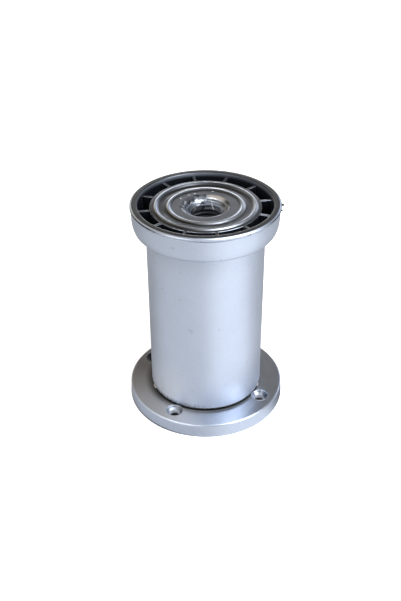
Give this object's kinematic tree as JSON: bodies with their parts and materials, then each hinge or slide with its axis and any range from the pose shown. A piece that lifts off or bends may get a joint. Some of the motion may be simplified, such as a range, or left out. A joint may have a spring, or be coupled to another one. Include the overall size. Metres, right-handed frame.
{
  "type": "plastic furniture leg",
  "caption": "Round tubular furniture leg with a flared, ribbed foot end, a threaded centre hole for a levelling foot, and a separate mounting flange with countersunk screw holes.",
  "frame": {"origin": "centre of the flange's mounting face", "axes": "+Z along the leg from the mounting face to the foot end, +X to the right in the picture, +Y away from the camera"},
  "size_m": [0.0724, 0.0724, 0.1],
  "materials": {
    "leg_paint": "satin silver paint on moulded plastic",
    "flange_paint": "satin silver paint on moulded plastic"
  },
  "bodies": {
    "root": {"leg_body": "leg_paint", "mounting_flange": "flange_paint"}
  },
  "joints": []
}
